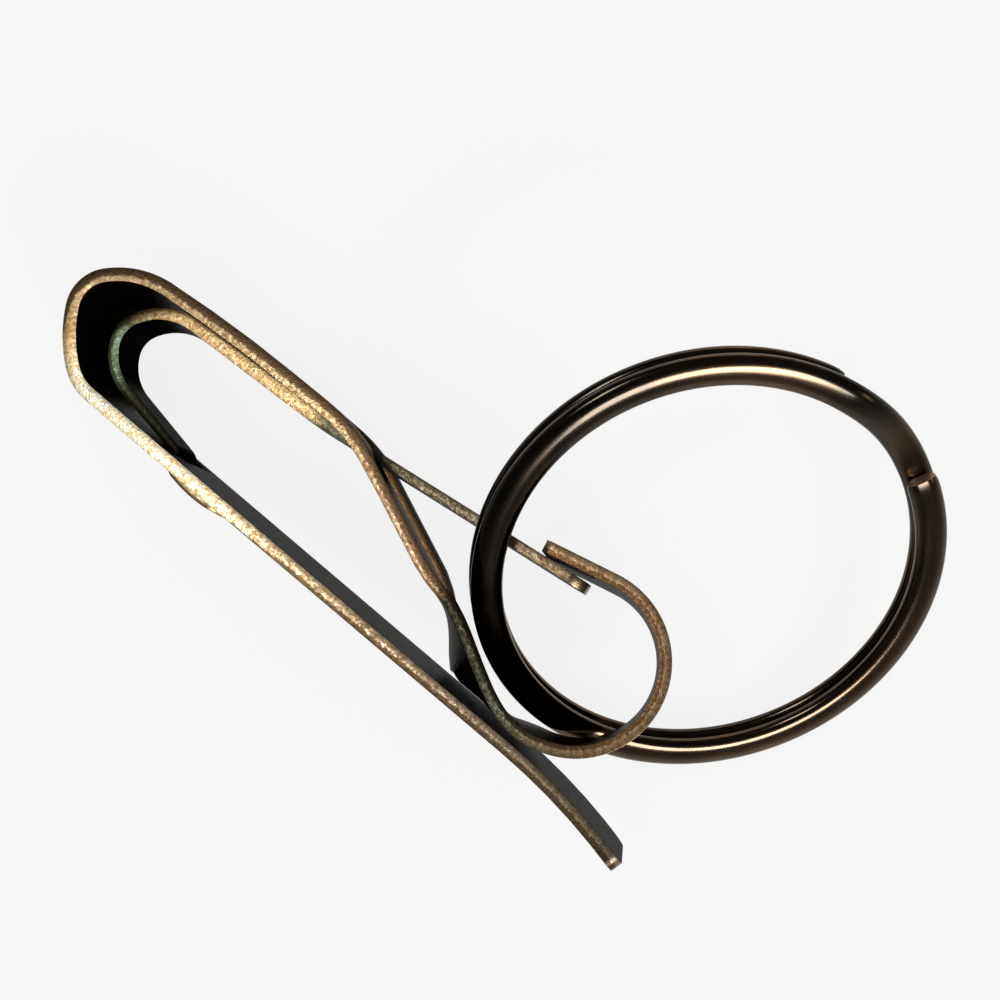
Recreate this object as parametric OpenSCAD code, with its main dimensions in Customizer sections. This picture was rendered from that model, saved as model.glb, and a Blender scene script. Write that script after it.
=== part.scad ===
// Spring clip key ring: a bent strip clip, a gate spring folded through it and a split ring.
// Millimetres, +Z up. The clip is drawn flat as a side profile and then laid down at rest.

/* [Strip] */
// width of the strip the clip is bent from
strip_w = 12; // [10:0.5:16]
// thickness of the strip
strip_t = 0.87; // [0.7:0.01:1]
// straight run of the back leg, from the top bend to the start of the lip
back_len = 38.4; // [35:0.5:42]
// radius the lip curls away on
lip_r = 45; // [35:1:60]
// angle the lip curls through
lip_turn = 14; // [8:1:18]

/* [Top bend] */
// radius of the lower corner of the top bend
corner_r = 4.0; // [3.5:0.1:4.5]
// angle of the lower corner
corner_turn = 36; // [34:1:38]
// radius of the slow part above the lower corner
rise_r = 10.4; // [9.5:0.1:11]
// angle of the slow part
rise_turn = 25; // [24:1:27]
// radius of the tight crown of the bend
crown_r = 2.7; // [2.5:0.1:3]
// angle of the crown
crown_turn = 72.4; // [71:0.2:74]
// radius where the crown runs out into the front leg
shoulder_r = 7.1; // [6.5:0.1:8]
// angle of the shoulder
shoulder_turn = 40.4; // [39:0.2:42]

/* [Front leg] */
// length of the front leg, which bows a little
front_len = 10.9; // [9:0.1:13]
// angle the front leg bows through
front_turn = 6.2; // [4:0.2:7]
// flat run before the front leg bends down
front_flat = 3.1; // [2.6:0.1:4]
// radius of the bend down
drop_r = 13; // [10:0.5:16]
// angle of the bend down
drop_turn = 22.6; // [21:0.5:25]

/* [Clamp and hook] */
// angle of the second, steeper bend down
steep_turn = 12.9; // [11:0.5:15]
// radius of the second bend down
steep_r = 5.8; // [5:0.1:7]
// straight run after the second bend
steep_len = 2.1; // [1.5:0.1:3]
// radius of the bend that comes round above the back leg
clamp_r = 9.8; // [8:0.2:11]
// angle of that bend
clamp_turn = 56.3; // [54:1:58]
// gap left between the clamp and the back leg
clamp_gap = 0.3; // [0.2:0.05:0.8]
// radius of the hook, to the middle of the strip
hook_r = 6.1; // [5.7:0.1:6.5]
// angle the hook turns through
hook_turn = 172; // [168:1:176]
// straight run at the tip of the hook
tip_len = 5.4; // [4:0.1:6.5]

/* [Gate spring] */
// width of the gate spring
gate_w = 4.5; // [4.2:0.1:5]
// thickness of the gate spring
gate_t = 0.75; // [0.6:0.01:0.8]
// room on each side of the gate in the window of the front leg
window_side = 0.45; // [0.3:0.05:0.8]
// run of the window ahead of the bend down
window_lead = 2.4; // [2:0.1:2.8]
// angle at which the lower run of the gate leaves the back leg
lift_turn = 7.3; // [6.5:0.1:8]
// straight run from there up to its bend
lift_len = 6.6; // [6.3:0.1:6.9]
// radius of the lower part of the gate bend
gbend_r = 4.2; // [4:0.1:4.5]
// angle of the lower part of the gate bend
gbend_turn = 60.7; // [60:0.1:61.5]
// radius of the crown of the gate bend
gcrown_r = 2.7; // [2.5:0.1:2.9]
// angle of the crown of the gate bend
gcrown_turn = 70.5; // [69:0.5:72]
// radius where the gate bend runs out into the arm
gshoulder_r = 4.5; // [4:0.1:5]
// angle of that run-out
gshoulder_turn = 39.3; // [38:0.3:40.5]
// run of the arm under the front leg
garm_len = 12; // [11:0.5:13]
// radius on which the arm turns up to the hook
gturn_r = 30; // [25:1:35]
// how far the arm reaches past the corner of the hook tip
gate_reach = 3.6; // [2.5:0.1:4.5]
// gap between the arm and the hook tip it rests against
gate_rest_gap = 0.06; // [0.04:0.01:0.15]
// gap at the flex line between the fixed and the moving run of the gate spring
flex_gap = 0.12; // [0.1:0.01:0.2]
// radius of the rounded corners at the gate tip
gate_corner = 1.6; // [0.8:0.1:2]

/* [Tab of the gate] */
// where the end of the tab lies on the outside of the back leg, from the top bend
tab_at = 12; // [11.5:0.1:13]
// length of the tab outside the back leg
tab_len = 4.7; // [4.2:0.1:5.2]
// angle the tab bows through
tab_bow = 24; // [16:1:30]
// radius of the fold where the tab comes out of the slot
fold_r = 0.8; // [0.7:0.05:1]
// how steeply the gate spring goes through the slot
fold_turn = 70; // [60:1:80]
// radius of the fold on the inside
fold_in_r = 1.1; // [0.9:0.05:1.4]
// gap between the tab and the outer face it is pressed down on
tab_gap = 0.03; // [0.02:0.01:0.06]
// room round the gate spring in the slot
slot_fit = 0.08; // [0.05:0.01:0.15]
// radius of the rounded corners at the end of the tab
tab_corner = 1.9; // [1:0.1:2.1]

/* [Split ring] */
// outside diameter of the split ring
ring_od = 34.6; // [34:0.1:36]
// width of the flat ring wire
wire_w = 2.3; // [2.1:0.05:2.35]
// thickness of the ring wire
wire_t = 1.12; // [1:0.02:1.14]
// gap between the two turns
coil_gap = 0.05; // [0.04:0.01:0.08]
// corner rounding of the wire
wire_round = 0.5; // [0.2:0.05:0.5]
// turn over which the wire steps from one coil to the other
step_turn = 30; // [26:1:40]
// free angle left between the upper wire end and the step
end_gap = 3.5; // [2:0.5:6]
// free angle left between the step and the lower wire end
far_gap = 1.5; // [1:0.5:4]
// where the upper wire end lies round the ring
end_at = 99.5; // [90:0.5:110]

/* [Lie of the parts] */
// middle of the part of the ring held by the hook, along the back leg from the top bend
hold_x = 34.22; // [34.1:0.02:34.4]
// the same, above the outer face of the back leg
hold_y = 7.05; // [6.9:0.02:7.2]
// the same, from the lower edge of the strip
hold_z = 4.48; // [4.4:0.02:4.6]
// distance between the places where the ring lies on the gate and under the hook
hold_span = 16.1; // [15.8:0.1:16.4]
// direction of that part of the ring, seen from the middle of the ring
hold_turn = -86.5; // [-88:0.5:-85]
// slope of the ring against the side of the clip
ring_tilt = 37.8; // [37.6:0.1:38]
// direction in which the ring slopes
ring_azimuth = -34.1; // [-34.3:0.1:-33.9]
// angle the hook end of the clip is propped up by the ring
lean = 6.3; // [6.1:0.1:6.5]
// angle the clip is rolled about its length
roll = -1.1; // [-1.4:0.1:-0.8]

/* [Hidden] */
$fn = 64;
arc_step = 5;
set_x = -24.66;
set_y = -17.26;
set_z = 0.79;

// points along a bent strip: rows of [straight run, bend radius, turn], frames of [x, y, heading]
function trace(rows, p, i = 0) =
    i == len(rows) ? [p] :
    let (r = rows[i],
         q = [p.x + r[0] * cos(p.z), p.y + r[0] * sin(p.z), p.z],
         s = sign(r[2]),
         n = max(2, ceil(abs(r[2]) / arc_step)),
         c = [q.x - s * r[1] * sin(q.z), q.y + s * r[1] * cos(q.z)],
         arc = r[2] == 0 ? [q] : [for (k = [0 : n])
             let (h = q.z + r[2] * k / n)
             [c.x + s * r[1] * sin(h), c.y - s * r[1] * cos(h), h]])
    concat(r[0] > 0 ? [p] : [],
           [for (k = [0 : 1 : len(arc) - 2]) arc[k]],
           trace(rows, arc[len(arc) - 1], i + 1));
function last(v) = v[len(v) - 1];
function face(path, o) = [for (f = path) [f.x - o * sin(f.z), f.y + o * cos(f.z)]];
function back(v) = [for (i = [len(v) - 1 : -1 : 0]) v[i]];
function band(path, t) = concat(face(path, t / 2), back(face(path, -t / 2)));

// the strip: x = 0 is where the back leg meets the top bend, y = 0 its outer face
start = [0, strip_t / 2, 180];
bend_rows = [
    [0, corner_r, -corner_turn],
    [0, rise_r, -rise_turn],
    [0, crown_r, -crown_turn],
    [0, shoulder_r, -shoulder_turn],
    [0, front_len * 180 / (PI * front_turn), -front_turn],
    [front_flat - window_lead, 1, 0]];
bend_path = trace(bend_rows, start);
window_start = last(bend_path);
drop_path = trace([[window_lead, drop_r, -drop_turn]], window_start);
drop_end = last(drop_path);
hook_rows = [
    [0, steep_r, -steep_turn],
    [steep_len, clamp_r, clamp_turn],
    [0, hook_r, hook_turn],
    [tip_len, 1, 0]];
// the slanted run is as long as it takes to bring the clamp down to its gap
clamp_low = min([for (f = trace(hook_rows, [0, 0, drop_end.z])) f.y]);
slant_drop = drop_end.y + clamp_low - strip_t / 2 - strip_t - clamp_gap;
slant_len = slant_drop / sin(-drop_end.z);
slant_path = trace([[slant_len, 1, 0]], drop_end);
window_path = concat(drop_path, slant_path);
hook_path = trace(hook_rows, last(slant_path));
lip_path = back([for (f = trace([[back_len, lip_r, -lip_turn]], [0, strip_t / 2, 0]))
    [f.x, f.y, f.z + 180]]);
strip_path = concat(lip_path, bend_path, drop_path, slant_path, hook_path);
tip_corner = last(face(hook_path, strip_t / 2));

// the gate spring comes in through a slot, turns inside the top bend and rests on the hook tip
mid_z = strip_w / 2;
tab_start = [tab_at, -tab_gap - gate_t / 2, 180 + tab_bow / 2];
tab_path = trace([[0, tab_len * 180 / (PI * tab_bow), -tab_bow]], tab_start);
// the steep run through the slot is as long as it takes to come out on top of the back leg
fold_low = trace([[0, fold_r, tab_bow / 2 - fold_turn]], last(tab_path));
fold_up = fold_in_r * (cos(lift_turn) - cos(fold_turn));
pass_rise = strip_t + gate_t / 2 + tab_gap - last(fold_low).y - fold_up;
pass_len = pass_rise / sin(fold_turn);
fold_path = concat(fold_low, trace([[pass_len, fold_in_r, fold_turn - lift_turn]], last(fold_low)));
root_rows = [
    [lift_len, gbend_r, -gbend_turn],
    [0, gcrown_r, -gcrown_turn],
    [0, gshoulder_r, -gshoulder_turn]];
root_path = concat(tab_path, fold_path, trace(root_rows, last(fold_path)));
// the slot reaches from the outside of the inner fold to the inside of the outer one
through = [for (f = concat(face(fold_path, gate_t / 2), face(fold_path, -gate_t / 2)))
    if (f.y > 0 && f.y < strip_t) f.x];
slot_from = min(through) - slot_fit;
slot_to = max(through) + slot_fit;
flex = last(root_path);
arm_start = [flex.x + flex_gap * cos(flex.z), flex.y + flex_gap * sin(flex.z), flex.z];
arm_flat = [arm_start.x + garm_len * cos(flex.z), arm_start.y + garm_len * sin(flex.z), flex.z];
turn_c = [arm_flat.x - gturn_r * sin(flex.z), arm_flat.y + gturn_r * cos(flex.z)];
to_tip = tip_corner - turn_c;
tip_dir = atan2(to_tip.y, to_tip.x);
arm_dir = tip_dir - asin((gate_rest_gap - gturn_r + gate_t / 2) / norm(to_tip));
arm_bent = last(trace([[0, gturn_r, arm_dir - flex.z]], arm_flat));
arm_run = (tip_corner.x - arm_bent.x) / cos(arm_dir) + gate_reach;
arm_path = trace([[garm_len, gturn_r, arm_dir - flex.z], [arm_run, 1, 0]], arm_start);

// lays the flat side profile down at rest, propped at the hook end
module laid() {
    translate([set_x, set_y, set_z])
    rotate([roll, 0, 0])
    rotate([0, -lean, 0])
    children();
}

module strip_blank() {
    linear_extrude(strip_w)
    polygon(band(strip_path, strip_t));
}

module clip_strip() {
    color("#8a6f50")
    laid()
    difference() {
        strip_blank();
        // window the gate arm passes through
        translate([0, 0, mid_z - gate_w / 2 - window_side])
        linear_extrude(gate_w + 2 * window_side)
        polygon(band(window_path, strip_t * 3));
        // slot the gate spring is folded through
        translate([0, 0, mid_z - gate_w / 2 - slot_fit])
        linear_extrude(gate_w + 2 * slot_fit)
        polygon([
            [slot_from, -strip_t], [slot_to, -strip_t],
            [slot_to, strip_t * 2], [slot_from, strip_t * 2]]);
    }
}

// the rounded end of a strip, as seen on its flat face
module rounded_end(corner) {
    translate([-corner * 3, -gate_w / 2])
    square([corner * 2, gate_w]);
    translate([-corner * 2, corner - gate_w / 2])
    square([corner * 2, gate_w - 2 * corner]);
    for (side = [-1, 1])
        translate([-corner, side * (gate_w / 2 - corner)])
        circle(r = corner);
}

module gate_root() {
    color("#6e5a44")
    laid()
    difference() {
        translate([0, 0, mid_z - gate_w / 2])
        linear_extrude(gate_w)
        polygon(band(root_path, gate_t));
        // rounds the end of the tab
        translate([tab_at, -gate_t, mid_z])
        rotate([90, 0, 0])
        linear_extrude(gate_t * 4, center = true)
        difference() {
            translate([-tab_corner, -gate_w])
            square([tab_corner * 2, gate_w * 2]);
            rounded_end(tab_corner);
        }
    }
}

module gate_arm() {
    end = last(arm_path);
    color("#7d6650")
    laid()
    difference() {
        translate([0, 0, mid_z - gate_w / 2])
        linear_extrude(gate_w)
        polygon(band(concat(arm_path, trace([[gate_corner / 2, 1, 0]], end)), gate_t));
        // cuts the tip to length and rounds its corners
        translate([end.x, end.y, mid_z])
        rotate([90, 0, end.z])
        linear_extrude(gate_w, center = true)
        difference() {
            translate([-gate_corner, -gate_w])
            square([gate_corner * 3, gate_w * 2]);
            rounded_end(gate_corner);
        }
    }
}

// section of the flat wire with rounded corners
function wire_section() = [for (i = [0 : 3], k = [0 : 2])
    let (a = i * 90 + k * 45,
         sx = (i == 0 || i == 3) ? 1 : -1,
         sy = i < 2 ? 1 : -1)
    [sx * (wire_w / 2 - wire_round) + wire_round * cos(a),
     sy * (wire_t / 2 - wire_round) + wire_round * sin(a)]];

module split_ring() {
    wire_r = ring_od / 2 - wire_w / 2;
    upper = 360 - step_turn - end_gap;
    total = 720 - step_turn - end_gap - far_gap;
    count = ceil(total / arc_step);
    rise = (wire_t + coil_gap) / 2;
    section = wire_section();
    m = len(section);
    points = [for (j = [0 : count], p = section)
        let (a = total * j / count,
             u = min(1, max(0, (a - upper) / step_turn)),
             lift = rise * cos(180 * u),
             r = wire_r + p.x)
        [r * cos(end_at - a), r * sin(end_at - a), lift + p.y]];
    sides = [for (j = [0 : count - 1], i = [0 : m - 1])
        let (i2 = (i + 1) % m)
        [j * m + i2, j * m + i, (j + 1) * m + i, (j + 1) * m + i2]];
    caps = [[for (i = [0 : m - 1]) i], [for (i = [m - 1 : -1 : 0]) count * m + i]];
    color("#4a4036")
    laid()
    translate([hold_x, hold_y, hold_z])
    rotate([0, ring_tilt, ring_azimuth])
    rotate([0, 0, hold_turn])
    translate([-sqrt(wire_r * wire_r - hold_span * hold_span / 4), 0, 0])
    rotate([0, 0, -hold_turn])
    polyhedron(points = points, faces = concat(sides, caps));
}

clip_strip();
gate_root();
gate_arm();
split_ring();
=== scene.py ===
# %% [markdown]
# # A belt clip key ring bent from strip
# The real object has three pieces: a sheared strip bent into a clip with a hook, a narrower strip folded
# through a slot in it as the hook's spring gate, and a split ring hung in the hook. Strip work is easiest
# to follow in the order it is made, so each blank is cut flat, punched, and bent last. Everything is drawn
# in millimetres on the side profile of the clip, with x along the back leg, y across the loop and z across
# the strip, and then laid down at rest by one transform.

# %% Load the frame
import math
from collections import namedtuple

import bmesh
import bpy
from mathutils import Matrix, Vector


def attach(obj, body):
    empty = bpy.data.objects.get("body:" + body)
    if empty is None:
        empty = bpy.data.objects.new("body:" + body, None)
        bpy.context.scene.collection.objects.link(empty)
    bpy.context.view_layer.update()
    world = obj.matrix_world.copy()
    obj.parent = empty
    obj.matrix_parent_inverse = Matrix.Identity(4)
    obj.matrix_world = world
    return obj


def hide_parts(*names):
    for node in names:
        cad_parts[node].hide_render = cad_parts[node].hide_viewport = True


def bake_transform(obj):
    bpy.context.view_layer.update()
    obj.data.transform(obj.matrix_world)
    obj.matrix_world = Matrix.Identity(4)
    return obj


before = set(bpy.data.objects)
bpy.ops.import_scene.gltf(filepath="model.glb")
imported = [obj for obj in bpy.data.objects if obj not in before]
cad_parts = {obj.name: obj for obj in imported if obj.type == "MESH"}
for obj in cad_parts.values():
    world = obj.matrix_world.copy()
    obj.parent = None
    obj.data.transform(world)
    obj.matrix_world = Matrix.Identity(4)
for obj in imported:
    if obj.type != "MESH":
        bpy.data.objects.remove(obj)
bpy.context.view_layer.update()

# %% [markdown]
# ## Sizes
# The widths and thicknesses are the plain part's own. The part doesn't lie flat: the ring props its hook
# end up, so the profile is leaned and rolled a little before it is set down. One matrix does that for every
# piece, because a finished piece has to have its place in its mesh, with its object left at the origin.

# %% Shared sizes and the lie of the parts
MM = 0.001
STRIP_W, STRIP_T = 12.0, 0.87
GATE_W, GATE_T = 4.5, 0.75
LEAN, ROLL = 6.3, -1.1
SET = Vector((-24.66, -17.26, 0.79))

laid = (
    Matrix.Translation(SET * MM)
    @ Matrix.Rotation(math.radians(ROLL), 4, "X")
    @ Matrix.Rotation(math.radians(-LEAN), 4, "Y")
    @ Matrix.Scale(MM, 4)
)
print("the profile's corner lies at", [round(c, 5) for c in laid.translation])

# %% [markdown]
# ## A strip is cut flat, punched, and then bent
# A bent strip could be swept along a curve, but a window and a slot are hard to cut in a sweep. A flat
# blank takes them easily, so the blank is made first and then carried onto its bends. `BentPath` walks a
# list of rows, each a straight run followed by a bend of some radius and turn. Its `at` gives the place and
# the heading of the strip's middle line at a distance s: the blank's length becomes s, its width stays z,
# and its thickness follows the normal.

# %% Walk along a run or a bend
def walk(x, y, heading, curve, distance):
    """The place and heading after a distance along a straight run or a bend of some curvature."""
    if not curve:
        return x + distance * math.cos(heading), y + distance * math.sin(heading), heading
    later = heading + curve * distance
    return (
        x + (math.sin(later) - math.sin(heading)) / curve,
        y - (math.cos(later) - math.cos(heading)) / curve,
        later,
    )


print("a quarter bend of 10 mm ends at", [round(c, 2) for c in walk(0, 0, 0, 0.1, 5 * math.pi)[:2]])

# %% The bent path
BEND_STEP = math.radians(3)
RUN_STEP = 1.5
CLOSEST = 0.012


class BentPath:
    def __init__(self, start, rows):
        self.spans = []
        x, y, heading = start[0], start[1], math.radians(start[2])
        s = 0.0
        for run, radius, turn in rows:
            bend_len = math.radians(abs(turn)) * radius
            for length, bend in ((run, 0.0), (bend_len, math.copysign(1, turn))):
                if length <= 0:
                    continue
                curve = bend / radius if bend else 0.0
                self.spans.append((s, length, x, y, heading, curve))
                x, y, heading = walk(x, y, heading, curve, length)
                s += length
        self.length = s

    def at(self, s):
        for s0, length, x, y, heading, curve in self.spans:
            if s <= s0 + length or s0 + length >= self.length - 1e-9:
                return walk(x, y, heading, curve, s - s0)

    def stations(self, extra=()):
        """Distances to cut the blank at: close together in a bend, and at each extra mark."""
        marks = set(extra)
        for s0, length, x, y, heading, curve in self.spans:
            steps = length * abs(curve) / BEND_STEP if curve else length / RUN_STEP
            n = max(1, math.ceil(steps))
            marks.update(s0 + length * i / n for i in range(n + 1))
        kept = []
        for s in sorted(marks):
            if not kept or s - kept[-1] > CLOSEST:
                kept.append(s)
        return kept


print("bends are cut every", round(math.degrees(BEND_STEP)), "degrees and runs every", RUN_STEP, "mm")

# %% [markdown]
# ## The two profiles
# The clip runs from the curled lip along the back leg, round the end bend, down the front leg and the slant
# with its window, over the clamp bend and round the hook to its tip. The gate starts as a tab on the
# outside of the back leg, folds in through its slot, turns round inside the clip's end bend, and runs out
# to rest under the hook tip. Both are the plain part's own, except for the gate's tab and its turn, which
# are drawn closer to the real ones here.

# %% The clip's own profile
LIP_R, LIP_TURN = 45.0, 14.0
BACK_LEN = 38.4
CORNER_R, CORNER_TURN = 4.0, 36
RISE_R, RISE_TURN = 10.4, 25
CROWN_R, CROWN_TURN = 2.7, 72.4
SHOULDER_R, SHOULDER_TURN = 7.1, 40.4
FRONT_LEN, FRONT_TURN = 10.9, 6.2
BEFORE_WINDOW, WINDOW_LEAD = 0.7, 2.4
DROP_R, DROP_TURN = 13.0, 22.6
SLANT_LEN = 11.0005
STEEP_R, STEEP_TURN, STEEP_LEN = 5.8, 12.9, 2.1
CLAMP_R, CLAMP_TURN = 9.8, 56.3
HOOK_R, HOOK_TURN = 6.1, 172
TIP_LEN = 5.4

lip_end = (
    BACK_LEN + LIP_R * math.sin(math.radians(LIP_TURN)),
    STRIP_T / 2 - LIP_R * (1 - math.cos(math.radians(LIP_TURN))),
    180 - LIP_TURN,
)
strip_path = BentPath(lip_end, [
    (0, LIP_R, LIP_TURN),
    (BACK_LEN, CORNER_R, -CORNER_TURN),
    (0, RISE_R, -RISE_TURN),
    (0, CROWN_R, -CROWN_TURN),
    (0, SHOULDER_R, -SHOULDER_TURN),
    (0, FRONT_LEN / math.radians(FRONT_TURN), -FRONT_TURN),
    (BEFORE_WINDOW + WINDOW_LEAD, DROP_R, -DROP_TURN),
    (SLANT_LEN, STEEP_R, -STEEP_TURN),
    (STEEP_LEN, CLAMP_R, CLAMP_TURN),
    (0, HOOK_R, HOOK_TURN),
    (TIP_LEN, 1, 0),
])
print("the clip's blank is", round(strip_path.length, 1), "mm long")

# %% The gate's own profile
TAB_AT, TAB_LEN, TAB_BOW, TAB_GAP = 12.0, 4.7, 24.0, 0.03
FOLD_R, FOLD_TURN = 0.8, 70.0
SLOT_RUN = 0.4905
FOLD_IN_R, LIFT_TURN, LIFT_LEN = 1.1, 9.0, 5.384
GATE_BENDS = ((4.09, 55.56), (2.38, 53.42), (4.53, 59.82))
ARM_LEN, ARM_R, ARM_TURN, REACH = 10.2, 30.0, 5.0893, 21.9

(first_r, first_turn), (second_r, second_turn), (third_r, third_turn) = GATE_BENDS
gate_path = BentPath((TAB_AT, -TAB_GAP - GATE_T / 2, 180 + TAB_BOW / 2), [
    (0, TAB_LEN / math.radians(TAB_BOW), -TAB_BOW),
    (0, FOLD_R, TAB_BOW / 2 - FOLD_TURN),
    (SLOT_RUN, FOLD_IN_R, FOLD_TURN - LIFT_TURN),
    (LIFT_LEN, first_r, -first_turn),
    (0, second_r, -second_turn),
    (0, third_r, -third_turn),
    (ARM_LEN, ARM_R, ARM_TURN),
    (REACH, 1, 0),
])
print("the gate's blank is", round(gate_path.length, 1), "mm long")

# %% [markdown]
# ## The blank
# The blank is a grid with a row of vertices at each station. Its columns follow the outline, so a rounded
# tip and a rounded window are only columns that move from station to station, and a window is the middle
# lane with its faces deleted. That keeps every face of the blank a quad, which a boolean cut would not.

# %% Where the columns of the blank stand
# The last field marks a cutout whose rims get painted shade: the dark face metal instead of the edge metal.
Cutout = namedtuple("Cutout", "start stop half corner dull")
EASE = (0.0, 0.04, 0.12, 0.25, 0.45, 0.7, 1.0)
LANE, LANE_SHARE = 0.3, 0.2
MID = STRIP_W / 2


def rounded(distance, corner):
    """How far a rounded corner stands back from the outline, at a distance from its end."""
    if distance >= corner:
        return 0.0
    return corner - math.sqrt(max(0.0, corner * corner - (corner - distance) ** 2))


def eased(start, stop, start_corner, stop_corner):
    """Distances that follow the rounding at both ends of a stretch."""
    return [start + start_corner * f for f in EASE] + [stop - stop_corner * f for f in EASE]


def columns_at(s, length, half, start_corner, end_corner, cutouts):
    """The six places across the blank at a distance along it, from rim to rim."""
    edge = half - max(rounded(s, start_corner), rounded(length - s, end_corner))
    inner = min(half * 0.5, edge * 0.5)
    for cut in cutouts:
        if cut.start - 1e-6 <= s <= cut.stop + 1e-6:
            back = max(rounded(s - cut.start, cut.corner), rounded(cut.stop - s, cut.corner))
            inner = cut.half - back
    lane = min(LANE, edge * LANE_SHARE)
    return (-edge, -edge + lane, -inner, inner, edge - lane, edge)


print("0.1 mm from its end, a 1 mm corner stands back", round(rounded(0.1, 1.0), 2), "mm")

# %% Cut and punch the blank
def punched_blank(stations, columns, cutouts):
    bm = bmesh.new()
    rows, lanes = len(stations) - 1, len(columns[0]) - 1
    grid = bmesh.ops.create_grid(bm, x_segments=rows, y_segments=lanes, size=1.0)
    for v in grid["verts"]:
        i, j = round((v.co.x + 1) / 2 * rows), round((v.co.y + 1) / 2 * lanes)
        v.co = (stations[i], MID + columns[i][j], 0.0)
    slugs = []
    for face in bm.faces:
        centre = face.calc_center_median()
        if abs(centre.y - MID) < 0.01 and any(cut.start < centre.x < cut.stop for cut in cutouts):
            slugs.append(face)
    bmesh.ops.delete(bm, geom=slugs, context="FACES")
    print("the blank keeps", len(bm.faces), "of", rows * lanes, "faces")
    return bm


# %% [markdown]
# ## Thickness and the sheared rim
# The flat sheet is extruded to its thickness. Shearing drags the face that the blade meets first over the
# edge, so that side's rim gets the larger bevel and the other only a small one.

# %% Thicken the blank and ease its rim
OUTER_EASE, INNER_EASE = (0.13, 3), (0.05, 2)


def thicken(bm, thick):
    risen = bmesh.ops.extrude_face_region(bm, geom=bm.faces[:])["geom"]
    for v in bm.verts:
        v.co.z = -thick / 2
    for v in risen:
        if isinstance(v, bmesh.types.BMVert):
            v.co.z = thick / 2
    bmesh.ops.recalc_face_normals(bm, faces=bm.faces)


def ease_rim(bm, level, size, rounds):
    rim = [
        e for e in bm.edges
        if len(e.link_faces) == 2
        and all(abs(v.co.z - level) < 1e-6 for v in e.verts)
        and abs(e.link_faces[0].normal.z - e.link_faces[1].normal.z) > 0.5
    ]
    bmesh.ops.bevel(
        bm, geom=rim, offset=size, offset_type="OFFSET", segments=rounds, profile=0.5,
        affect="EDGES", clamp_overlap=True, material=-1,
    )
    print("eased", len(rim), "rim edges by", size, "mm")


# %% [markdown]
# ## Marks that follow the strip
# The finish needs to know where it is on the strip, also after the bending. While the blank is still flat,
# each corner's place is kept as a UV map: the distance along it, with the width on a face or the thickness
# on a rim. Rims get the edge metal, except inside a slot that is too narrow to catch the light, whose rims
# and a margin round them take the dark face metal as painted shade.

# %% Keep the flat place of each corner
FLAT_SCALE = 10
SLOT_MARGIN = 0.4


def mark_flat(bm, thick, cutouts):
    uv = bm.loops.layers.uv.new("flat")
    for face in bm.faces:
        face.normal_update()
        on_rim = abs(face.normal.z) < 0.75
        centre = face.calc_center_median()
        # Rims in and round a cutout marked for painted shade take the dark face metal.
        in_slot = any(
            cut.dull
            and cut.start - SLOT_MARGIN < centre.x < cut.stop + SLOT_MARGIN
            and abs(centre.y - MID) < cut.half + SLOT_MARGIN
            for cut in cutouts
        )
        face.material_index = 1 if on_rim and not in_slot else 0
        face.smooth = True
        for loop in face.loops:
            s, z, n = loop.vert.co
            loop[uv].uv = (s / FLAT_SCALE, n / thick + 0.5 if on_rim else z / FLAT_SCALE)
    print(sum(face.material_index for face in bm.faces), "faces take the edge metal")


# %% [markdown]
# ## Bending
# Bending thickens a strip here and there, so a `swell` table says how far the outer and the inner face
# stand off at some distances along it. A `Warp` leans one stretch over: above its still line the strip
# moves one way, below it the other, and never closer to the back leg than a small gap. The blank's width
# and thickness change places on the way, which turns the shape inside out like a mirror, so its faces are
# reversed to point outwards again.

# %% Carry a blank onto its path
Warp = namedtuple("Warp", "start stop most still")
WARP_GAP = 0.25


def between(rows, s):
    """The values beside s in a table of rows (s, value, value), with straight lines between the rows."""
    for (s0, *low), (s1, *high) in zip(rows, rows[1:]):
        if s <= s1:
            t = max(0.0, (s - s0) / (s1 - s0))
            return [a + (b - a) * t for a, b in zip(low, high)]
    return rows[-1][1:]


def warped(y, z, s, warp):
    if not warp or not warp.start < s < warp.stop:
        return y
    along = (s - warp.start) / (warp.stop - warp.start)
    over = warp.most * (z / STRIP_W - warp.still) * math.sin(math.pi * along) ** 2
    return y + (max(over, 0.0) + min(0.0, max(over, STRIP_T + WARP_GAP - y)))


def bend(bm, path, thick, swell, warp):
    for v in bm.verts:
        s, z, n = v.co
        x, y, heading = path.at(min(max(s, 0.0), path.length))
        outward, inward = between(swell, s)
        n *= 1 + (outward if n > 0 else inward) / (thick / 2)
        y = warped(y + n * math.cos(heading), z, s, warp)
        v.co = laid @ Vector((x - n * math.sin(heading), y, z))
    bmesh.ops.reverse_faces(bm, faces=bm.faces)


# %% Finish a mesh, and make a whole strip
SHARP = math.radians(50)


def finished(name, bm):
    mesh = bpy.data.meshes.new(name)
    bm.to_mesh(mesh)
    bm.free()
    obj = bpy.data.objects.new(name, mesh)
    bpy.context.scene.collection.objects.link(obj)
    mesh.set_sharp_from_angle(angle=SHARP)
    print(name, "has", len(mesh.polygons), "faces")
    return obj


def bent_strip(name, path, width, thick, start_corner, end_corner, swell, cutouts=(), warp=None):
    marks = eased(0.0, path.length, start_corner, end_corner)
    for cut in cutouts:
        marks += eased(cut.start, cut.stop, cut.corner, cut.corner)
    stations = path.stations(marks)
    columns = [
        columns_at(s, path.length, width / 2, start_corner, end_corner, cutouts) for s in stations
    ]
    bm = punched_blank(stations, columns, cutouts)
    thicken(bm, thick)
    ease_rim(bm, thick / 2, *OUTER_EASE)
    ease_rim(bm, -thick / 2, *INNER_EASE)
    mark_flat(bm, thick, cutouts)
    bend(bm, path, thick, swell, warp)
    return finished(name, bm)


# %% [markdown]
# ## The clip strip
# The clip is the wide strip. It has the narrow slot that the gate's tab goes through and the long window
# that the gate's arm goes through. Its front leg is a little thicker on the inside, and just past the
# window the leg is twisted, so its low edge comes nearer to the back leg than its top edge.

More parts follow.
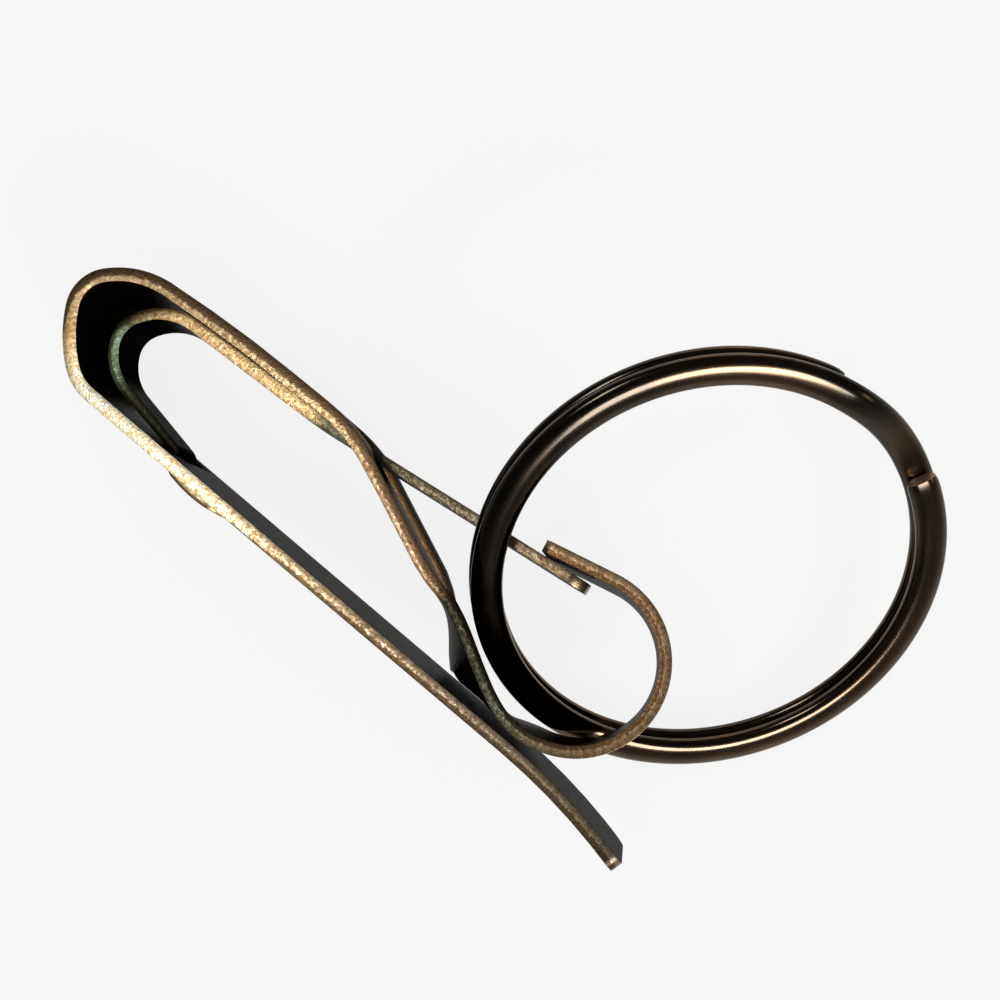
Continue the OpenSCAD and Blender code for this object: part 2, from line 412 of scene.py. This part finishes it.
# %% The clip strip
LIP_CORNER, TIP_CORNER = 1.0, 0.5
SLOT_FROM, SLOT_TO, SLOT_FIT, SLOT_CORNER = 7.38, 5.71, 0.08, 0.2
WINDOW_SIDE, WINDOW_CORNER = 0.45, 0.6

lip_len = math.radians(LIP_TURN) * LIP_R
bend_from = lip_len + BACK_LEN
end_bend = sum(math.radians(turn) * radius for radius, turn in (
    (CORNER_R, CORNER_TURN), (RISE_R, RISE_TURN), (CROWN_R, CROWN_TURN), (SHOULDER_R, SHOULDER_TURN),
))
window_from = bend_from + FRONT_LEN + BEFORE_WINDOW + end_bend
window_to = window_from + WINDOW_LEAD + math.radians(DROP_TURN) * DROP_R + SLANT_LEN
slot = Cutout(bend_from - SLOT_FROM, bend_from - SLOT_TO, GATE_W / 2 + SLOT_FIT, SLOT_CORNER, True)
window = Cutout(window_from, window_to, GATE_W / 2 + WINDOW_SIDE, WINDOW_CORNER, False)
strip_swell = (
    (0, 0.0, 0.0), (lip_len + 6, 0.0, 0.0), (lip_len + 20, 0.0, 0.05), (bend_from, 0.0, 0.12),
    (bend_from + 12, 0.0, 0.14), (bend_from + 17, -0.04, 0.27), (window_from, -0.04, 0.29),
    (window_from + 6, 0.0, 0.1), (window_from + 10, 0.0, 0.0), (strip_path.length, 0.0, 0.0),
)
clamp_warp = Warp(window_to - 3.0, window_to + 12.0, 3.4, 0.62)
strip = bent_strip(
    "strip", strip_path, STRIP_W, STRIP_T, LIP_CORNER, TIP_CORNER,
    strip_swell, (slot, window), clamp_warp,
)
print("the window runs from", round(window_from, 1), "to", round(window_to, 1), "mm along the clip")

# %% [markdown]
# ## The gate spring
# The gate is the narrow strip. It has no window, but it is thinner at its tab, where it lies against the
# back leg, and thicker along its arm. Both its ends are rounded, and fingers press on the far one.

# %% The gate spring
TAB_CORNER, GATE_CORNER = 1.9, 1.6

lift_from = sum(span[1] for span in gate_path.spans[:4])
gate_swell = (
    (0, -0.30, -0.02), (TAB_LEN, -0.20, -0.02), (lift_from, 0.0, -0.12), (lift_from + 5.4, 0.0, 0.0),
    (lift_from + 15, 0.1, 0.06), (lift_from + 20, 0.16, 0.06), (lift_from + 27, 0.16, 0.04),
    (lift_from + 30, 0.0, 0.0), (gate_path.length, 0.0, 0.0),
)
gate = bent_strip("gate_spring", gate_path, GATE_W, GATE_T, TAB_CORNER, GATE_CORNER, gate_swell)

# %% [markdown]
# ## The split ring
# One wire makes two turns. It starts at its cut end on the upper turn, goes nearly once round, steps down
# beside its own start, and runs on below itself. A full spin would close on itself and could not step, so
# one section is drawn as a circle and extruded station by station, with each new section set in its own
# place. The section is a flat wire with full, soft shoulders.

# %% Sizes of the ring, and how it hangs
RING_OD, WIRE_W, WIRE_T, COIL_GAP = 34.6, 2.3, 1.12, 0.05
END_AT, STEP_TURN, END_GAP, FAR_GAP = 99.5, 30.0, 3.5, 1.5
HOLD_AT, HOLD_SPAN, HOLD_TURN = (34.22, 7.05, 4.48), 16.1, math.radians(-86.5)
RING_AZIMUTH, RING_TILT = math.radians(-34.1), math.radians(37.8)

RING_R = RING_OD / 2 - WIRE_W / 2
chord_depth = math.sqrt(RING_R * RING_R - HOLD_SPAN * HOLD_SPAN / 4)
hung = (
    laid
    @ Matrix.Translation(HOLD_AT)
    @ Matrix.Rotation(RING_AZIMUTH, 4, "Z")
    @ Matrix.Rotation(RING_TILT, 4, "Y")
    @ Matrix.Rotation(HOLD_TURN, 4, "Z")
    @ Matrix.Translation((-chord_depth, 0, 0))
    @ Matrix.Rotation(-HOLD_TURN, 4, "Z")
)
print("the wire's middle line is", round(RING_R, 2), "mm from the ring's centre")

# %% Where a point of the wire stands
SECTIONS, SIDES = 440, 28
SHOULDER_ACROSS, SHOULDER_ABOVE = 0.86, 0.9
CUT_END = {0: 0.9, 1: 0.985}
upper_turn = 360 - STEP_TURN - END_GAP
whole_turn = 720 - STEP_TURN - END_GAP - FAR_GAP


def wire_point(section, side):
    """A point on the wire's skin: which section along the wire, and which side round it."""
    gone = whole_turn * section / SECTIONS
    stepped = min(1.0, max(0.0, (gone - upper_turn) / STEP_TURN))
    lift = (WIRE_T + COIL_GAP) / 2 * math.cos(math.pi * stepped)
    shrink = CUT_END.get(min(section, SECTIONS - section), 1.0)
    c, d = math.cos(math.tau * side / SIDES), math.sin(math.tau * side / SIDES)
    across = math.copysign(abs(c) ** SHOULDER_ACROSS, c) * WIRE_W / 2 * shrink
    above = math.copysign(abs(d) ** SHOULDER_ABOVE, d) * WIRE_T / 2 * shrink
    turn = math.radians(END_AT - gone)
    r = RING_R + across
    return r * math.cos(turn), r * math.sin(turn), lift + above


print("the wire goes through", whole_turn, "degrees and starts its step at", upper_turn)

# %% Coil the wire
WIRE_UV = 40


def coiled_wire():
    bm = bmesh.new()
    uv = bm.loops.layers.uv.new("flat")
    section_of = bm.verts.layers.int.new("section")
    side_of = bm.verts.layers.int.new("side")
    for v in bmesh.ops.create_circle(bm, cap_ends=False, radius=1.0, segments=SIDES)["verts"]:
        v[side_of] = round(math.atan2(v.co.y, v.co.x) / math.tau * SIDES) % SIDES
        v.co = wire_point(0, v[side_of])
    front = bm.edges[:]
    for section in range(1, SECTIONS + 1):
        grown = bmesh.ops.extrude_edge_only(bm, edges=front)["geom"]
        front = [e for e in grown if isinstance(e, bmesh.types.BMEdge) and e.is_boundary]
        for v in {v for e in front for v in e.verts}:
            v[section_of] = section
            v.co = wire_point(section, v[side_of])
    for face in bm.faces:
        face.smooth = True
        over_seam = {0, SIDES - 1} <= {v[side_of] for v in face.verts}
        for loop in face.loops:
            side = loop.vert[side_of]
            around = SIDES if over_seam and side == 0 else side
            loop[uv].uv = (loop.vert[section_of] / WIRE_UV, around / SIDES)
    ends = [e for e in bm.edges if e.is_boundary]
    bmesh.ops.edgeloop_fill(bm, edges=ends, mat_nr=1, use_smooth=False)
    bmesh.ops.recalc_face_normals(bm, faces=bm.faces)
    bmesh.ops.transform(bm, matrix=hung, verts=bm.verts)
    return bm


ring = finished("split_ring_wire", coiled_wire())

# %% [markdown]
# ## Metal
# The strip is plated, and its plating has gone dark and brownish. A dark metal colour gives that without a
# dark room to reflect. Where the strip was sheared the steel is bare and bright, so the rims have their own
# finish. Small helpers build the nodes, and each takes either a socket or a plain value.

# %% Node helpers
def metal(name):
    mat = bpy.data.materials.new(name)
    mat.use_nodes = True
    tree = mat.node_tree
    shader = tree.nodes["Principled BSDF"]
    shader.inputs["Metallic"].default_value = 1.0
    return mat, tree, shader


def node(tree, kind, **values):
    made = tree.nodes.new(kind)
    for key, value in values.items():
        if key in made.inputs:
            made.inputs[key].default_value = value
        else:
            setattr(made, key, value)
    return made


def reckon(tree, operation, *inputs):
    """One sum of a Math node, where each input is a socket or a number."""
    made = node(tree, "ShaderNodeMath", operation=operation)
    for slot, value in zip(made.inputs, inputs):
        if isinstance(value, bpy.types.NodeSocket):
            tree.links.new(value, slot)
        else:
            slot.default_value = value
    return made.outputs[0]


# %% Pattern helpers
def noise(tree, vector, scale, detail=4.0, roughness=0.55):
    made = node(tree, "ShaderNodeTexNoise", Scale=scale, Detail=detail, Roughness=roughness)
    tree.links.new(vector, made.inputs["Vector"])
    return made.outputs["Fac"]


def stretched(tree, vector, scale):
    made = node(tree, "ShaderNodeMapping", Scale=scale)
    tree.links.new(vector, made.inputs["Vector"])
    return made.outputs["Vector"]


def bump(tree, height, strength, distance, under=None):
    made = node(tree, "ShaderNodeBump", Strength=strength, Distance=distance)
    tree.links.new(height, made.inputs["Height"])
    if under:
        tree.links.new(under, made.inputs["Normal"])
    return made.outputs["Normal"]


# %% Colour helpers
def grey(value):
    return (value, value, value)


def ramp(tree, fac, stops):
    made = tree.nodes.new("ShaderNodeValToRGB")
    elements = made.color_ramp.elements
    while len(elements) < len(stops):
        elements.new(0.5)
    for element, (at, colour) in zip(elements, stops):
        element.position = at
        element.color = (*colour, 1.0)
    tree.links.new(fac, made.inputs["Fac"])
    return made.outputs["Color"]


def ramp_along(tree, along, length, stops):
    """A ramp whose stops stand at distances in millimetres along a strip of some length."""
    return ramp(tree, along, [(s / length, colour) for s, colour in stops])


def mixed(tree, factor, plain, pattern):
    made = node(tree, "ShaderNodeMix", data_type="RGBA")
    tree.links.new(factor, made.inputs["Factor"])
    made.inputs[6].default_value = (*plain, 1.0)
    tree.links.new(pattern, made.inputs[7])
    return made.outputs[2]


# %% [markdown]
# ## The plated faces
# Rolling leaves fine lines along the strip, and handling leaves broad clouds of tarnish. The clouds change
# the colour, and the lines change the roughness and a slight relief. Old plating hardly flares at a grazing
# angle, so its specular tint is kept low.

# %% The face finish
CLOUD_SCALE, LINE_SCALE = 160.0, 6.0
LINE_STRETCH = (2.0, 90.0, 1.0)
LINE_RELIEF, LINE_DEPTH = 0.12, 0.00004
GRAZE_TINT = (0.05, 0.045, 0.035, 1.0)


def face_metal(name, dark, mid, light):
    mat, tree, shader = metal(name)
    shader.inputs["Specular Tint"].default_value = GRAZE_TINT
    where = tree.nodes.new("ShaderNodeTexCoord")
    clouds = noise(tree, where.outputs["Object"], CLOUD_SCALE, 5.0)
    lines = noise(tree, stretched(tree, where.outputs["UV"], LINE_STRETCH), LINE_SCALE, 3.0)
    colour = ramp(tree, clouds, ((0.3, dark), (0.52, mid), (0.72, light)))
    rough = ramp(tree, lines, ((0.3, grey(0.24)), (0.7, grey(0.42))))
    tree.links.new(colour, shader.inputs["Base Color"])
    tree.links.new(rough, shader.inputs["Roughness"])
    tree.links.new(bump(tree, lines, LINE_RELIEF, LINE_DEPTH), shader.inputs["Normal"])
    return mat


strip_face = face_metal(
    "strip_face", (0.012, 0.010, 0.007), (0.026, 0.020, 0.013), (0.05, 0.038, 0.025),
)
gate_face = face_metal(
    "gate_face", (0.014, 0.016, 0.015), (0.024, 0.026, 0.024), (0.04, 0.04, 0.035),
)
print("face finishes:", strip_face.name, gate_face.name)

# %% [markdown]
# ## The sheared rims
# A sheared rim has two bands: the blade burnishes a smooth one, and the rest tears off and glitters. Their
# border wanders, and the torn band is wider where `tears` is higher. Its glitter is a fine grain with cells
# drawn out across the rim, as tearing leaves them. Last, a table along the length multiplies the rim's
# colour, which paints light onto it: painted highlight where it is brighter and painted shade where darker.

# %% The torn band
WANDER_STRETCH, WANDER_SCALE, WANDER = (9.0, 0.6, 1.0), 3.0, 0.55
BORDER = ((0.62, grey(1.0)), (0.74, grey(0.0)))
GRAIN_SCALE, GRAIN_ROUGH = 3800.0, 0.7
STROKE_STRETCH, STROKE_SCALE, STROKE = (1.7, 0.035, 1.0), 26.0, 0.28


def torn_band(tree, flat, across, torn_share):
    """One where the rim is torn and nought where it is burnished."""
    wander = noise(tree, stretched(tree, flat, WANDER_STRETCH), WANDER_SCALE, 4.0)
    level = reckon(tree, "MULTIPLY_ADD", wander, WANDER, across)
    return ramp(tree, reckon(tree, "SUBTRACT", level, torn_share), BORDER)


def tear_strokes(tree, flat):
    cells = node(tree, "ShaderNodeTexVoronoi", Scale=STROKE_SCALE)
    tree.links.new(stretched(tree, flat, STROKE_STRETCH), cells.inputs["Vector"])
    return cells.outputs["Color"]


# %% The edge finish
# Multipliers of one all along: no painted light on the rim.
NO_PAINTED_LIGHT = ((0, grey(1.0)), (1, grey(1.0)))
EVEN_TEAR = ((0, grey(0.0)), (1, grey(0.0)))
GRAIN_RELIEF, GRAIN_DEPTH = 0.35, 0.00006
STROKE_RELIEF, STROKE_DEPTH = 0.7, 0.00012


def edge_metal(name, smooth, torn, glint, length=1.0, painted_light=NO_PAINTED_LIGHT, tears=EVEN_TEAR):
    mat, tree, shader = metal(name)
    where = tree.nodes.new("ShaderNodeTexCoord")
    flat = where.outputs["UV"]
    split = tree.nodes.new("ShaderNodeSeparateXYZ")
    tree.links.new(flat, split.inputs["Vector"])
    along = reckon(tree, "MULTIPLY", split.outputs["X"], FLAT_SCALE / length)
    band = torn_band(tree, flat, split.outputs["Y"], ramp_along(tree, along, length, tears))
    grain = noise(tree, where.outputs["Object"], GRAIN_SCALE, 3.0, GRAIN_ROUGH)
    strokes = tear_strokes(tree, flat)
    glitter = reckon(tree, "MULTIPLY_ADD", strokes, STROKE, grain)
    tone = ramp(tree, glitter, ((0.50, torn), (0.80, glint), (0.92, grey(1.0))))
    # Painted light: the rim's colour is multiplied by a table along its length, giving painted highlight
    # and painted shade.
    painted_rim = node(tree, "ShaderNodeVectorMath", operation="MULTIPLY")
    tree.links.new(mixed(tree, band, smooth, tone), painted_rim.inputs[0])
    tree.links.new(ramp_along(tree, along, length, painted_light), painted_rim.inputs[1])
    tree.links.new(painted_rim.outputs[0], shader.inputs["Base Color"])
    rough = ramp(tree, grain, ((0.3, grey(0.5)), (0.75, grey(0.2))))
    tree.links.new(rough, shader.inputs["Roughness"])
    fine = bump(tree, grain, GRAIN_RELIEF, GRAIN_DEPTH)
    tree.links.new(bump(tree, strokes, STROKE_RELIEF, STROKE_DEPTH, fine), shader.inputs["Normal"])
    return mat


# %% [markdown]
# ## How the rims change along their length
# Each table lists a distance in millimetres along the blank and a value there. The tables that multiply the
# rim's colour are painted light. The clip's rim is darkened as painted shade at its lip, brightest as a
# painted highlight at the end of its back leg, and nearly black with painted shade where it is twisted past
# the window. The gate's rim is nearly black with painted shade from its slot to its turn, has a small
# painted teal highlight in the turn, is bright as a painted highlight on its run beside the front leg, and
# is dim with painted shade on its reach to the hook tip.

# %% Rims of the clip and the gate
# Painted highlight and painted shade along the clip's rim, as multipliers of its colour.
STRIP_PAINTED_LIGHT = (
    (0, grey(0.28)), (11, grey(0.32)), (24, (0.46, 0.42, 0.38)), (33, (0.85, 0.8, 0.72)),
    (40, (1.5, 1.5, 1.4)), (50, (1.8, 1.85, 1.85)), (54, (1.0, 0.85, 0.65)), (59, (0.5, 0.46, 0.4)),
    (64, (0.66, 0.58, 0.48)), (76, (0.70, 0.62, 0.52)), (90, (0.58, 0.50, 0.42)),
    (93.5, (0.50, 0.43, 0.36)), (95.5, (0.045, 0.05, 0.05)), (101, (0.05, 0.06, 0.06)),
    (105, (0.11, 0.135, 0.14)), (113, (0.40, 0.33, 0.27)), (124, (0.60, 0.49, 0.40)),
    (131, (0.60, 0.49, 0.40)),
)
STRIP_TEARS = (
    (0, grey(0.1)), (30, grey(0.25)), (38, grey(0.7)), (53, grey(0.7)), (58, grey(0.0)),
    (94, grey(0.0)), (100, grey(0.2)), (131, grey(0.2)),
)
# Painted shade, a painted teal highlight and painted highlight along the gate's rim, as multipliers of its
# colour.
GATE_PAINTED_LIGHT = (
    (0, grey(0.8)), (5, grey(0.6)), (6, (0.04, 0.05, 0.05)), (12.5, (0.05, 0.07, 0.07)),
    (14.2, (0.22, 0.38, 0.44)), (16.6, (0.22, 0.38, 0.44)), (18.2, (0.05, 0.07, 0.07)),
    (20.5, (0.3, 0.28, 0.24)), (22.5, (0.85, 0.76, 0.66)), (34, (0.85, 0.78, 0.68)),
    (36, (0.10, 0.12, 0.13)), (50, (0.17, 0.18, 0.20)), (57, (0.33, 0.32, 0.32)),
)
GATE_TEARS = ((0, grey(0.0)), (gate_path.length, grey(1.0)))

strip_edge = edge_metal(
    "strip_edge", (0.20, 0.145, 0.09), (0.50, 0.37, 0.23), (0.95, 0.83, 0.62),
    strip_path.length, STRIP_PAINTED_LIGHT, STRIP_TEARS,
)
gate_edge = edge_metal(
    "gate_edge", (0.42, 0.28, 0.15), (0.62, 0.44, 0.24), (1.0, 0.82, 0.54),
    gate_path.length, GATE_PAINTED_LIGHT, GATE_TEARS,
)
print("edge finishes:", strip_edge.name, gate_edge.name)

# %% [markdown]
# ## The wire
# The ring's wire is drawn, not rolled, so it is far smoother than the strip and shows long clean
# reflections. It is dark with bronze clouds, and its two cut ends are bare.

# %% The wire finish
WIRE_CLOUD, DRAW_SCALE, DRAW_STRETCH = 90.0, 5.0, (1.0, 40.0, 1.0)


def wire_metal(name, dark, bronze):
    mat, tree, shader = metal(name)
    where = tree.nodes.new("ShaderNodeTexCoord")
    clouds = noise(tree, where.outputs["Object"], WIRE_CLOUD, 4.0)
    drawn = noise(tree, stretched(tree, where.outputs["UV"], DRAW_STRETCH), DRAW_SCALE, 3.0)
    tree.links.new(ramp(tree, clouds, ((0.36, dark), (0.66, bronze))), shader.inputs["Base Color"])
    tree.links.new(ramp(tree, drawn, ((0.3, grey(0.10)), (0.75, grey(0.19)))), shader.inputs["Roughness"])
    return mat


wire = wire_metal("ring_wire", (0.035, 0.031, 0.027), (0.10, 0.066, 0.042))
wire_end = edge_metal("ring_wire_end", (0.40, 0.26, 0.16), (0.5, 0.32, 0.2), (0.9, 0.7, 0.5))

finishes = ((strip, (strip_face, strip_edge)), (gate, (gate_face, gate_edge)), (ring, (wire, wire_end)))
for obj, mats in finishes:
    for mat in mats:
        obj.data.materials.append(mat)
    print(obj.name, "takes", [mat.name for mat in mats])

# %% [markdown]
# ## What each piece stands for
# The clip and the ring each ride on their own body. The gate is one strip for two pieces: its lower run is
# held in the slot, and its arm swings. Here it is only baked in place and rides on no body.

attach(strip, "clip")
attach(ring, "ring")
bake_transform(gate)
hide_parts("clip_strip")
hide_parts("gate_root", "gate_arm")
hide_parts("split_ring")

# %% [markdown]
# ## The table
# The table is pale, both to the camera and in what the metal reflects, so there it is mostly light of its
# own. A small share of it stays matt, which keeps the part's faint shadow, and for every other ray it is
# matt throughout.

# %% Table
TABLE_GREY, TABLE_GLOW, TABLE_OWN = 0.86, 0.905, 0.94

bpy.ops.mesh.primitive_plane_add(size=3.0, location=(0, 0, 0))
table = bpy.context.object
table.name = "table"
table_mat = bpy.data.materials.new("table_pale")
table_mat.use_nodes = True
tree = table_mat.node_tree
matt = tree.nodes["Principled BSDF"]
matt.inputs["Base Color"].default_value = (*grey(TABLE_GREY), 1.0)
matt.inputs["Roughness"].default_value = 0.9
matt.inputs["Specular IOR Level"].default_value = 0.0
glow = node(tree, "ShaderNodeEmission", Color=(*grey(TABLE_GLOW), 1.0))
rays = tree.nodes.new("ShaderNodeLightPath")
looked_at = reckon(tree, "MAXIMUM", rays.outputs["Is Camera Ray"], rays.outputs["Is Glossy Ray"])
looked_at = reckon(tree, "MAXIMUM", looked_at, rays.outputs["Is Transmission Ray"])
pale = tree.nodes.new("ShaderNodeMixShader")
tree.links.new(reckon(tree, "MULTIPLY", looked_at, TABLE_OWN), pale.inputs[0])
tree.links.new(matt.outputs[0], pale.inputs[1])
tree.links.new(glow.outputs[0], pale.inputs[2])
tree.links.new(pale.outputs[0], tree.nodes["Material Output"].inputs["Surface"])
table.data.materials.append(table_mat)
print("the table glows at", TABLE_GLOW, "where it is looked at")

# %% [markdown]
# ## The room
# Even light all round keeps the shadow soft. In the metal the room is pale low down and dim overhead, as a
# room is above a table by a window, so the lamps stand out on the rims that look up.

# %% Room
ROOM_LIGHT = (0.95, 0.95, 0.95)
ROOM_SEEN = ((0.0, grey(0.85)), (0.15, (0.5, 0.45, 0.4)), (0.4, (0.12, 0.11, 0.10)), (0.8, grey(0.05)))

world = bpy.data.worlds.new("soft_room")
bpy.context.scene.world = world
world.use_nodes = True
tree = world.node_tree
sky = tree.nodes["Background"]
where = tree.nodes.new("ShaderNodeTexCoord")
split = tree.nodes.new("ShaderNodeSeparateXYZ")
tree.links.new(where.outputs["Generated"], split.inputs["Vector"])
room = ramp(tree, split.outputs["Z"], ROOM_SEEN)
rays = tree.nodes.new("ShaderNodeLightPath")
tree.links.new(mixed(tree, rays.outputs["Is Glossy Ray"], ROOM_LIGHT, room), sky.inputs["Color"])
sky.inputs["Strength"].default_value = 1.0
print("the room is", world.name)

# %% [markdown]
# ## Lights
# A window on one side draws the long streaks along the ring and lights the near rims. The ceiling, a warm
# lamp and a pale wall fill in from the other sides. Each is a soft rectangle at the same distance, aimed at
# the clip, so only its direction, size and power have to be chosen.

# %% Lights
LIGHT_AWAY = 0.6


def area(name, azimuth, elevation, size, power, colour):
    """A soft light that looks at the clip from a direction, with its size in metres."""
    a, e = math.radians(azimuth), math.radians(elevation)
    place = Vector((math.cos(a) * math.cos(e), math.sin(a) * math.cos(e), math.sin(e))) * LIGHT_AWAY
    light = bpy.data.lights.new(name, "AREA")
    light.shape = "RECTANGLE"
    light.size, light.size_y = size
    light.energy = power
    light.color = colour
    obj = bpy.data.objects.new(name, light)
    obj.matrix_world = Matrix.Translation(place) @ (-place).to_track_quat("-Z", "Y").to_matrix().to_4x4()
    bpy.context.scene.collection.objects.link(obj)
    print(name, "gives", power, "W from", azimuth, "degrees round and", elevation, "up")


area("window", 337.0, 40.0, (0.26, 0.13), 2.6, (1.0, 0.97, 0.92))
area("ceiling", 205.0, 73.0, (0.16, 0.10), 0.75, (1.0, 0.94, 0.84))
area("lamp", 20.0, 28.0, (0.16, 0.08), 0.11, (1.0, 0.72, 0.45))
area("wall", 129.0, 12.0, (0.50, 0.20), 0.30, (1.0, 0.90, 0.76))

# %% [markdown]
# ## Camera
# The camera looks almost straight down from a hand's breadth away, so the strip shows its near rim and its
# faces run away below it. It is set by its place and two directions, because an angle for each axis would
# be harder to read.

# %% Camera
CAMERA_AT = (0.00443316, -0.00492263, 0.11843109)
CAMERA_LOOK = (-0.02968852, 0.01075752, -0.99950131)
CAMERA_UP = (-0.63533901, 0.77175494, 0.027178)

camera_data = bpy.data.cameras.new("camera")
camera_data.lens = 54.0
camera_data.sensor_width = 36.0
camera_data.clip_start = 0.005
camera = bpy.data.objects.new("camera", camera_data)
forward = Vector(CAMERA_LOOK).normalized()
right = forward.cross(Vector(CAMERA_UP)).normalized()
upward = right.cross(forward)
turned_camera = Matrix((right, upward, -forward)).transposed().to_4x4()
camera.matrix_world = Matrix.Translation(CAMERA_AT) @ turned_camera
bpy.context.scene.collection.objects.link(camera)
bpy.context.scene.camera = camera
bpy.context.scene.view_settings.view_transform = "Standard"
print("the camera is", round(CAMERA_AT[2] / MM), "mm above the table")
